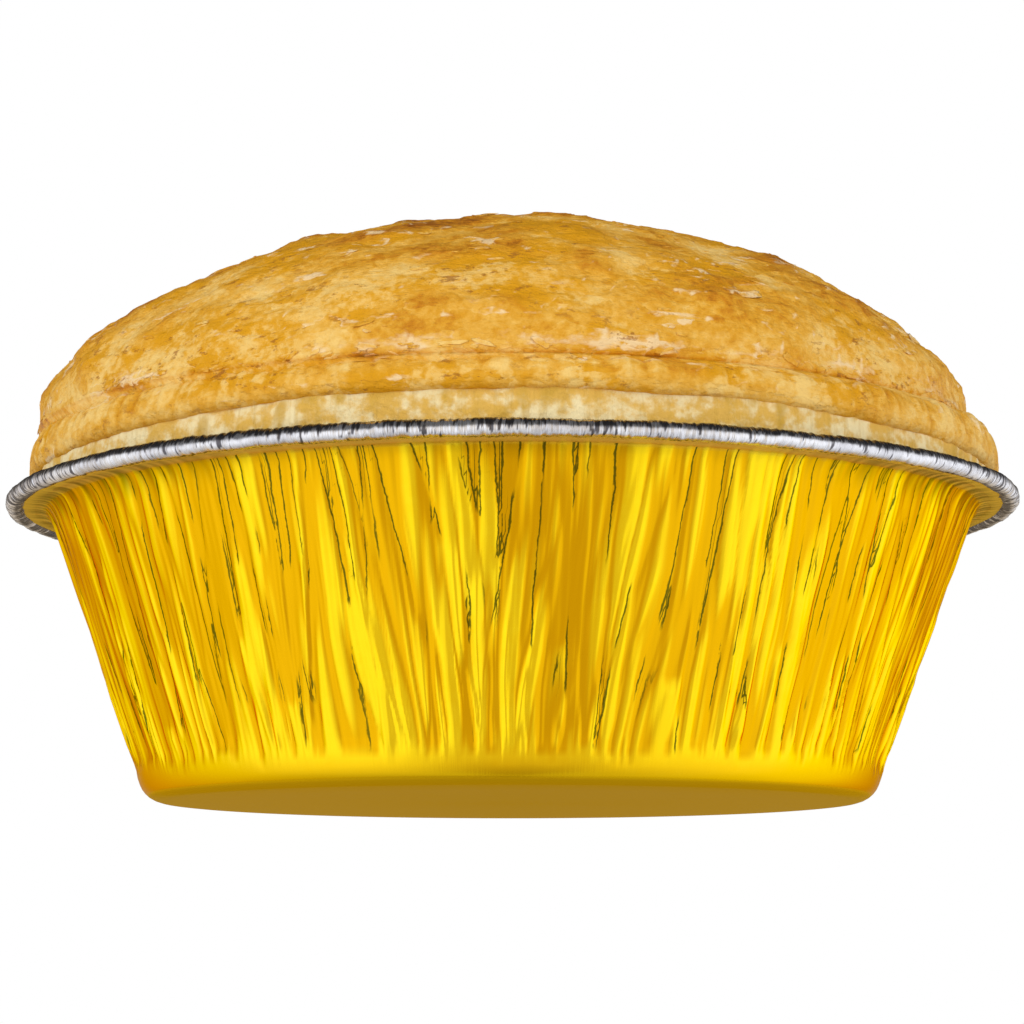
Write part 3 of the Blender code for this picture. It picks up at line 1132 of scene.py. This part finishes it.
@dataclass
class Lid:
    """The baked lid: crimped ledge, pinched crease and flaky dome."""

    ledge_radius: float = 57.5 * MM
    ledge_shift: float = 0.15 * MM
    foot: float = 39.2 * MM
    ledge_top: float = 42.6 * MM
    crease_radius: float = 55.1 * MM
    crease_z: float = 43.2 * MM
    droop: float = 2.1 * MM
    dome_radius: float = 55.6 * MM
    widest: float = 45.8 * MM
    top: float = 68.2 * MM
    dome_shift: float = -1.2 * MM
    crown_shift: float = 0.7 * MM
    shoulder: float = 2.1
    crown: float = 1.47
    columns: int = 740
    dome_rows: int = 104
    notches: int = 240
    blisters: int = 90
    streaks: Grain = Grain(59, 7 * MM, 0.9 * MM)
    wave: Grain = Grain(60, 9 * MM, 9 * MM)
    seed: int = 53
    lumps: tuple[Lump, ...] = (
        Lump(183, 52.5 * MM, 5.0 * MM, 0.7 * MM),
        Lump(180, 57.8 * MM, 3.0 * MM, -0.6 * MM),
        Lump(-3, 53.0 * MM, 5.0 * MM, 0.6 * MM),
        Lump(2, 57.5 * MM, 3.2 * MM, -0.5 * MM),
    )

    def dome_height(self, radius: np.ndarray) -> np.ndarray:
        """Height of the dome at a radius: flat on its crown and steep at its shoulder."""
        share = np.clip(radius / self.dome_radius, 0.0, 1.0)
        rise = (1 - share**self.shoulder) ** (1 / self.crown)
        return self.widest + (self.top - self.widest) * rise

    def dome_points(self) -> list[Pair]:
        """Evenly spaced points over the dome, from its widest part to its top."""
        radius = self.dome_radius * np.cos(np.linspace(0, math.pi / 2, 400))
        fine = Section(np.column_stack([radius, self.dome_height(radius)]))
        even = np.linspace(0, fine.along()[-1], self.dome_rows + 1)
        across = np.interp(even, fine.along(), fine.points[:, 0])
        return list(zip(across, np.interp(even, fine.along(), fine.points[:, 1])))

    def section(self) -> Section:
        """Underside, ledge, crease and dome."""
        foot, edge = self.foot, self.ledge_radius
        under = [(0.0, foot), (edge - 8 * MM, foot), (edge - 2.5 * MM, foot)]
        bulge, lip = foot + 1.3 * MM, self.crease_radius + 0.4 * MM
        ledge = arc((edge - 1.0 * MM, bulge), (1.0 * MM, bulge - foot), (-88, 0), 6)
        ledge += arc((lip, bulge), (edge - lip, self.ledge_top - bulge), (0, 84), 9)[1:]
        roll_height = (self.widest - self.crease_z) / 2
        middle = (self.crease_radius, self.crease_z + roll_height)
        roll = arc(middle, (self.dome_radius - self.crease_radius, roll_height), (-75, 0), 5)
        dome = [*self.dome_points()[:-1], (0.0, self.top)]
        into = (self.crease_radius, self.crease_z)
        return Section(np.array([*under, *ledge, into, *roll[:-1], *dome]))

    def place_notches(self, around: np.ndarray, height: np.ndarray) -> np.ndarray:
        """Short upright marks along the ledge: how far each point is pressed in or raised."""
        draw = np.random.default_rng(self.seed)
        total = np.zeros(len(around))
        turn = math.tau * self.ledge_radius
        for index in range(self.notches):
            place = turn * (index + draw.uniform(-0.4, 0.4)) / self.notches
            width = draw.uniform(0.2, 0.55) * MM
            reach = draw.uniform(1.0, 2.8) * MM
            level = self.ledge_top - draw.uniform(0.0, 1.2) * MM
            rise = draw.choice((-1, -1, 1)) * draw.uniform(0.1, 0.3) * MM
            across = wrapped(around * self.ledge_radius - place, turn)
            near = np.abs(across) < 4 * width
            down = (height[near] - level) / reach
            total[near] += rise * bell(across[near], width) * np.exp(-1.5 * down**2)
        return total

    def place_blisters(self, places: np.ndarray) -> np.ndarray:
        """Small rounded blisters on the dome: a height from 0 to 1 for each point."""
        draw = np.random.default_rng(self.seed + 1)
        total = np.zeros(len(places))
        for _ in range(self.blisters):
            angle, share = draw.uniform(0, math.tau), draw.uniform(0.0, 0.98) ** 0.6
            radius = share * self.dome_radius
            across, back = radius * math.cos(angle), radius * math.sin(angle)
            centre = np.array([across, back, float(self.dome_height(radius))])
            size = draw.uniform(1.2, 3.6) * MM
            gap = np.linalg.norm(places - centre, axis=1) / size
            near = gap < 1.6
            total[near] += draw.uniform(0.4, 1.0) * np.exp(-(gap[near] ** 2) * 1.6)
        return total

    def push_lumps(self, at: TurnedPlaces) -> np.ndarray:
        """How far the larger lumps push out each vertex."""
        total = np.zeros(len(at.places))
        girth = math.tau * self.dome_radius
        for lump in self.lumps:
            round_lid = wrapped((at.angle - math.radians(lump.angle)) * at.radius, girth)
            level = bell(at.height - lump.height, lump.size)
            total += lump.rise * bell(round_lid, 2.4 * lump.size) * level
        return total

    def shape(self, lid: bpy.types.Object) -> None:
        """Gives the turned lid its lumps, flaky plates, blisters and notches, its browning and pale
        flakes, and a painted highlight along the ledge's top edge.
        """
        at = TurnedPlaces(places_of(lid), self.dome_radius)
        places, height, base = at.places, at.height, self.seed
        on_dome = smooth(height, self.crease_z - 0.2 * MM, self.crease_z + 1.6 * MM)
        on_ledge = 1 - smooth(height, self.ledge_top, self.crease_z)
        on_ledge *= smooth(at.radius, 52 * MM, 56 * MM)
        side = 1 - smooth(height, 50 * MM, 66 * MM)
        swell, knobs = (
            Noise(base + seed)(places / (size * MM)) for seed, size in ((2, 19), (3, 7))
        )
        crumple = Noise(base + 4).layered(places / (2.4 * MM), 2)
        layers = Noise(base + 5).layered(places / (np.array([13, 13, 5]) * MM), 3) * 3.4
        over = layers - np.floor(layers)
        step = np.floor(layers) + smooth(over, 0.0, 0.12)
        streaks, wave = at.noise(self.streaks), at.noise(self.wave)
        blisters = self.place_blisters(places)
        notches = self.place_notches(at.angle, height) * on_ledge
        dome = 0.5 * swell + 0.3 * knobs + 0.14 * crumple + 0.17 * step + 0.3 * blisters
        dome += side * 0.12 * streaks - (0.3 + 0.25 * side)
        ledge = 0.22 * wave + 0.09 * crumple + 0.06 * streaks
        amount = (on_dome * dome + on_ledge * ledge) * MM + notches
        push_out(lid, amount + on_dome * self.push_lumps(at))
        self.set_off_axis(lid, at.radius, height)
        low = smooth(height, 49 * MM, 45 * MM) * on_dome
        tan = 0.57 - 0.17 * side + 0.3 * swell + 0.32 * knobs + 0.1 * blisters - 0.06 * low
        tan_ledge = 0.27 + 0.2 * wave - notches / MM
        tan_crease = 0.45 * bell(height - self.crease_z, 0.32 * MM)
        tan = on_dome * tan + (1 - on_dome) * tan_ledge
        tan += tan_crease * smooth(wave + 0.6 * crumple, 0.0, 0.6)
        write_values(lid, "tan", np.clip(tan, 0, 1))
        above = bell(height - self.crease_z - 1.3 * MM, 1.0 * MM) * smooth(swell + wave, -0.6, 0.2)
        # painted highlight: a pale strip along the ledge's top edge, just under the crease
        ledge_highlight = bell(height - self.ledge_top + 0.2 * MM, 0.45 * MM)
        torn = 0.7 * bell(over, 0.12) * smooth(crumple, -0.1, 0.5)
        torn += 0.4 * smooth(streaks, 0.35, 0.7)
        flakes_and_highlight = torn * on_dome + 0.6 * above + 0.55 * ledge_highlight * smooth(wave + crumple, 0.0, 0.6)
        write_values(lid, "flake", np.clip(flakes_and_highlight, 0, 1))

    def set_off_axis(self, lid: bpy.types.Object, radius: np.ndarray, height: np.ndarray) -> None:
        """Sets the ledge and the dome each a little to one side of the tin's axis."""
        places = places_of(lid)
        on_ledge = 1 - smooth(height, self.ledge_top, self.crease_z)
        outward = np.clip(radius / self.crease_radius, 0, 1)
        dome = self.crown_shift + (self.dome_shift - self.crown_shift) * outward
        places[:, 0] += dome + (self.ledge_shift - dome) * on_ledge
        side = np.sin(np.arctan2(places[:, 0], -places[:, 1])) ** 2
        side *= smooth(radius, 53 * MM, 56 * MM)
        places[:, 2] -= self.droop * side * smooth(height, self.crease_z, self.foot + 1 * MM)
        move_to(lid, places)

    def build(self, finish: bpy.types.Material) -> bpy.types.Object:
        """Makes the lid."""
        lid = turned("lid_crust", self.section(), self.columns)
        self.shape(lid)
        lean_rim(lid)
        settle(lid, Node.LID, finish)
        return lid


@dataclass(frozen=True)
class Peel:
    """A lifted layer of pastry: its angle round the lid, height, length, width and lift."""

    angle: float
    height: float
    length: float
    width: float
    lift: float


@dataclass
class CrustFlakes:
    """Thin flakes of pastry lying on the lid, with some longer peeled layers."""

    lid: bpy.types.Object
    count: int = 900
    length: Pair = (0.7 * MM, 3.0 * MM)
    thickness: float = 0.09 * MM
    seed: int = 71
    peels: tuple[Peel, ...] = (
        Peel(-12, 57.0 * MM, 5.0 * MM, 1.4 * MM, 0.06 * MM),
        Peel(-20, 52.5 * MM, 6.0 * MM, 1.6 * MM, 0.06 * MM),
        Peel(-96, 44.4 * MM, 3.4 * MM, 0.5 * MM, 0.04 * MM),
        Peel(-70, 44.4 * MM, 3.6 * MM, 0.5 * MM, 0.04 * MM),
        Peel(-76, 44.3 * MM, 2.8 * MM, 0.5 * MM, 0.04 * MM),
        Peel(-128, 44.6 * MM, 3.4 * MM, 0.5 * MM, 0.04 * MM),
        Peel(-91, 65.2 * MM, 2.6 * MM, 1.0 * MM, 0.1 * MM),
        Peel(-60, 52.0 * MM, 4.2 * MM, 1.1 * MM, 0.1 * MM),
    )

    def lens(self) -> bpy.types.Object:
        """One flake as a thin round lens, with a copy of it for every site."""
        deselect_all()
        bpy.ops.mesh.primitive_uv_sphere_add(segments=12, ring_count=6, radius=0.5)
        piece = bpy.context.object
        piece.name = piece.data.name = "crust_flakes"
        copies = piece.modifiers.new("copies", "ARRAY")
        copies.count = self.count + len(self.peels)
        copies.relative_offset_displace = (0.0, 0.0, 0.0)
        bpy.ops.object.modifier_apply(modifier=copies.name)
        bpy.ops.object.shade_smooth()
        return piece

    def sites(self, draw: np.random.Generator) -> tuple[np.ndarray, np.ndarray, np.ndarray]:
        """Chooses where the flakes rest.

        Args:
            draw: the random numbers to use.

        Returns:
            For each flake its centre, the lid's normal there, and its length, width and lift.
        """
        places = places_of(self.lid)
        normals = np.empty(len(places) * 3, np.float32)
        self.lid.data.vertex_normals.foreach_get("vector", normals)
        normals = normals.reshape(-1, 3).astype(float)
        height, outer = places[:, 2], TurnedPlaces(places).radius > 53 * MM
        near_crease = bell(height - 44.2 * MM, 1.1 * MM)
        patchy = smooth(Noise(self.seed)(places / (9 * MM)), -0.1, 0.5)
        chance = (height > 43.3 * MM) * (0.25 * patchy + 0.03)
        chance += outer * (height > 40 * MM) * 0.9 * near_crease
        picked = draw.choice(len(places), size=self.count, replace=False, p=chance / chance.sum())
        length = draw.uniform(*self.length, self.count) * draw.uniform(0.4, 1.0, self.count)
        width = length * draw.uniform(0.15, 0.4, self.count)
        sizes = np.column_stack([length, width, np.full(self.count, 0.02 * MM)])
        angles, mean = TurnedPlaces(places).angle, 50 * MM
        for peel in self.peels:
            around = wrapped(angles - math.radians(peel.angle), math.tau) * mean
            away = np.hypot(around, height - peel.height)
            away += ~outer & (peel.height < 50 * MM)
            picked = np.append(picked, np.argmin(away))
            sizes = np.vstack([sizes, [peel.length, peel.width, peel.lift]])
        return places[picked], normals[picked], sizes

    def build(self, finish: bpy.types.Material) -> bpy.types.Object:
        """Lays the flakes on the lid, each long way round it, thin and a little curled."""
        draw = np.random.default_rng(self.seed)
        piece = self.lens()
        centres, normals, sizes = self.sites(draw)
        total = len(centres)
        local = places_of(piece).reshape(total, -1, 3)
        edge = np.arctan2(local[..., 1], local[..., 0])
        own = np.broadcast_to(3.7 * np.arange(total)[:, None], edge.shape)
        outline = np.stack([1.6 * np.cos(edge), 1.6 * np.sin(edge), own], axis=-1)
        reach = 1 + 0.7 * Noise(self.seed + 1)(outline.reshape(-1, 3)).reshape(total, -1)
        along, across = (local[..., axis] * reach * sizes[:, axis, None] for axis in (0, 1))
        side = np.cross((0.0, 0.0, 1.0), normals) + 1e-6
        turn = draw.normal(0.0, 0.25, total)[:, None]
        side /= np.linalg.norm(side, axis=1, keepdims=True)
        rise = np.cross(normals, side)
        cos, sin = np.cos(turn), np.sin(turn)
        side, rise = side * cos + rise * sin, rise * cos - side * sin
        bow = 1 / (2 * 52 * MM)
        tilt = 1.2 * draw.choice((-1, 1), total)[:, None]
        curl = sizes[:, 2, None] * (1 + tilt * local[..., 1]) - along**2 * bow
        out = local[..., 2] * self.thickness + curl
        spread = centres[:, None] + along[..., None] * side[:, None]
        spread += across[..., None] * rise[:, None] + out[..., None] * normals[:, None]
        move_to(piece, spread.reshape(-1, 3))
        rim = smooth(np.hypot(local[..., 0], local[..., 1]), 0.3, 0.5)
        for name, least, pale in (("tan", 0.15, 0.0), ("flake", 0.0, 0.1)):
            level = draw.uniform(least, 0.5, total)[:, None]
            write_values(piece, name, (level + pale * rim).ravel())
        settle(piece, Node.LID, finish)
        return piece


# ---------------------------------------------------------------- studio


@dataclass(frozen=True)
class SoftBox:
    """A large soft lamp that mirrors don't show, placed by its direction from the pie."""

    name: str
    azimuth: float
    elevation: float
    distance: float
    size: Pair
    radiance: float

    def add(self, target: Vector) -> None:
        """Adds the lamp, facing the target.

        Args:
            target: the point that it faces.
        """
        lamp = bpy.data.lights.new(self.name, "AREA")
        lamp.shape = "RECTANGLE"
        lamp.size, lamp.size_y = self.size
        lamp.energy = self.radiance * math.pi * self.size[0] * self.size[1]
        holder = bpy.data.objects.new(self.name, lamp)
        bpy.context.scene.collection.objects.link(holder)
        turn, lift = math.radians(self.azimuth), math.radians(self.elevation)
        level = math.cos(lift)
        away = Vector((math.sin(turn) * level, -math.cos(turn) * level, math.sin(lift)))
        holder.location = target + away * self.distance
        holder.rotation_euler = (-away).to_track_quat("-Z", "Y").to_euler()
        holder.visible_camera = False
        holder.visible_glossy = False


@dataclass(frozen=True)
class Studio:
    """Pale floor, soft lamps, white surroundings and the camera."""

    distance: float = 358.26 * MM
    camera_x: float = 0.305 * MM
    camera_z: float = -17.19 * MM
    tilt: float = 0.1443
    lens: float = 106.03
    walls: tuple[Pair, ...] = (
        (-180, 0.45),
        (-150, 0.72),
        (-95, 0.97),
        (-75, 1.14),
        (-52, 1.22),
        (-32, 1.08),
        (-12, 0.80),
        (8, 0.78),
        (26, 0.84),
        (42, 1.10),
        (85, 1.20),
        (125, 1.06),
        (155, 0.66),
        (180, 0.45),
    )
    heights: tuple[Pair, ...] = (
        (-1.0, 0.55),
        (-0.85, 0.72),
        (-0.6, 0.93),
        (-0.3, 1.0),
        (0.05, 0.9),
        (0.3, 0.38),
        (0.5, 0.14),
        (1.0, 0.1),
    )
    boxes: tuple[SoftBox, ...] = (
        SoftBox("left key", -50, 30, 0.8, (0.6, 0.6), 2.2),
        SoftBox("right fill", 40, 22, 0.8, (0.6, 0.6), 1.8),
        SoftBox("top fill", 0, 70, 0.8, (0.9, 0.7), 0.8),
    )

    def warmed(self, level: float) -> Colour:
        """Grey of a level, warmer the darker it is."""
        cool = float(smooth(level, 0.5, 1.08))
        return (level, level * (0.78 + 0.22 * cool), level * (0.5 + 0.5 * cool))

    def surroundings(self) -> None:
        """White to the camera; to all else, pale walls, two bright sides and a dark ceiling."""
        world = bpy.data.worlds.new("surroundings")
        bpy.context.scene.world = world
        world.use_nodes = True
        world.node_tree.nodes.clear()
        nodes = Tree(world.node_tree)
        away = nodes.add("TexCoord").outputs["Generated"]
        back = nodes.maths("MULTIPLY", nodes.part(away, "Y"), -1.0)
        turn = nodes.maths("ARCTAN2", nodes.part(away, "X"), back)
        share = nodes.maths("MULTIPLY_ADD", turn, 1 / math.tau, 0.5)
        stops = [(0.5 + angle / 360, self.warmed(level)) for angle, level in self.walls]
        height = nodes.maths("MULTIPLY_ADD", nodes.part(away, "Z"), 0.5, 0.5)
        shade = nodes.ramp(height, [(0.5 + z / 2, (level,) * 3) for z, level in self.heights])
        walls = nodes.mixed(1.0, nodes.ramp(share, stops), shade, "MULTIPLY")
        around, white = nodes.add("Background"), nodes.add("Background")
        nodes.fill(around, Color=walls)
        nodes.fill(white, Color=(1.0, 1.0, 1.0))
        seen = nodes.add("LightPath").outputs["Is Camera Ray"]
        both = nodes.add("MixShader")
        for socket, value in zip(both.inputs, (seen, around.outputs[0], white.outputs[0])):
            nodes.feed(socket, value)
        nodes.fill(nodes.add("OutputWorld"), Surface=both.outputs[0])

    def floor(self) -> None:
        """A wide pale floor that is seen from above only."""
        deselect_all()
        bpy.ops.mesh.primitive_plane_add(size=8.0, location=(0.0, 0.0, -0.02 * MM))
        floor = bpy.context.object
        floor.name = "floor"
        made, nodes, shader = principled("floor")
        nodes.fill(shader, Base_Color=(0.9, 0.9, 0.9), Roughness=0.9)
        from_below = nodes.add("NewGeometry").outputs["Backfacing"]
        clear = nodes.add("BsdfTransparent").outputs[0]
        both = nodes.add("MixShader")
        for socket, value in zip(both.inputs, (from_below, shader.outputs[0], clear)):
            nodes.feed(socket, value)
        nodes.fill(made.node_tree.nodes["Material Output"], Surface=both.outputs[0])
        floor.data.materials.append(made)
        floor.visible_diffuse = floor.visible_glossy = floor.visible_shadow = False

    def camera(self) -> None:
        """The camera, a little below the tin's underside and looking up."""
        data = bpy.data.cameras.new("camera")
        data.lens = self.lens
        data.sensor_width = 36.0
        data.clip_start = 0.01
        holder = bpy.data.objects.new("camera", data)
        bpy.context.scene.collection.objects.link(holder)
        holder.location = (self.camera_x, -self.distance, self.camera_z)
        holder.rotation_euler = (math.pi / 2 + self.tilt, 0.0, 0.0)
        bpy.context.scene.camera = holder

    def build(self) -> None:
        """Sets up the whole studio."""
        bpy.context.scene.view_settings.view_transform = "Standard"
        self.camera()
        self.surroundings()
        self.floor()
        middle = Vector((0.0, 0.0, 30 * MM))
        for box in self.boxes:
            box.add(middle)


def main() -> None:
    """Builds the pie and the studio round it."""
    logging.basicConfig(level=logging.INFO, format="%(name)s: %(message)s")
    effects = SharedEffects()
    tin = FoilTin()
    tin.build_skin(GoldLacquer().material(effects))
    tin.build_bead(BareFoil().material(effects))
    PaleBand(tin).build(PaleCrust().material(effects))
    crust = BakedCrust().material(effects)
    lid = Lid().build(crust)
    CrustFlakes(lid).build(crust)
    Studio().build()


if __name__ == "__main__":
    main()
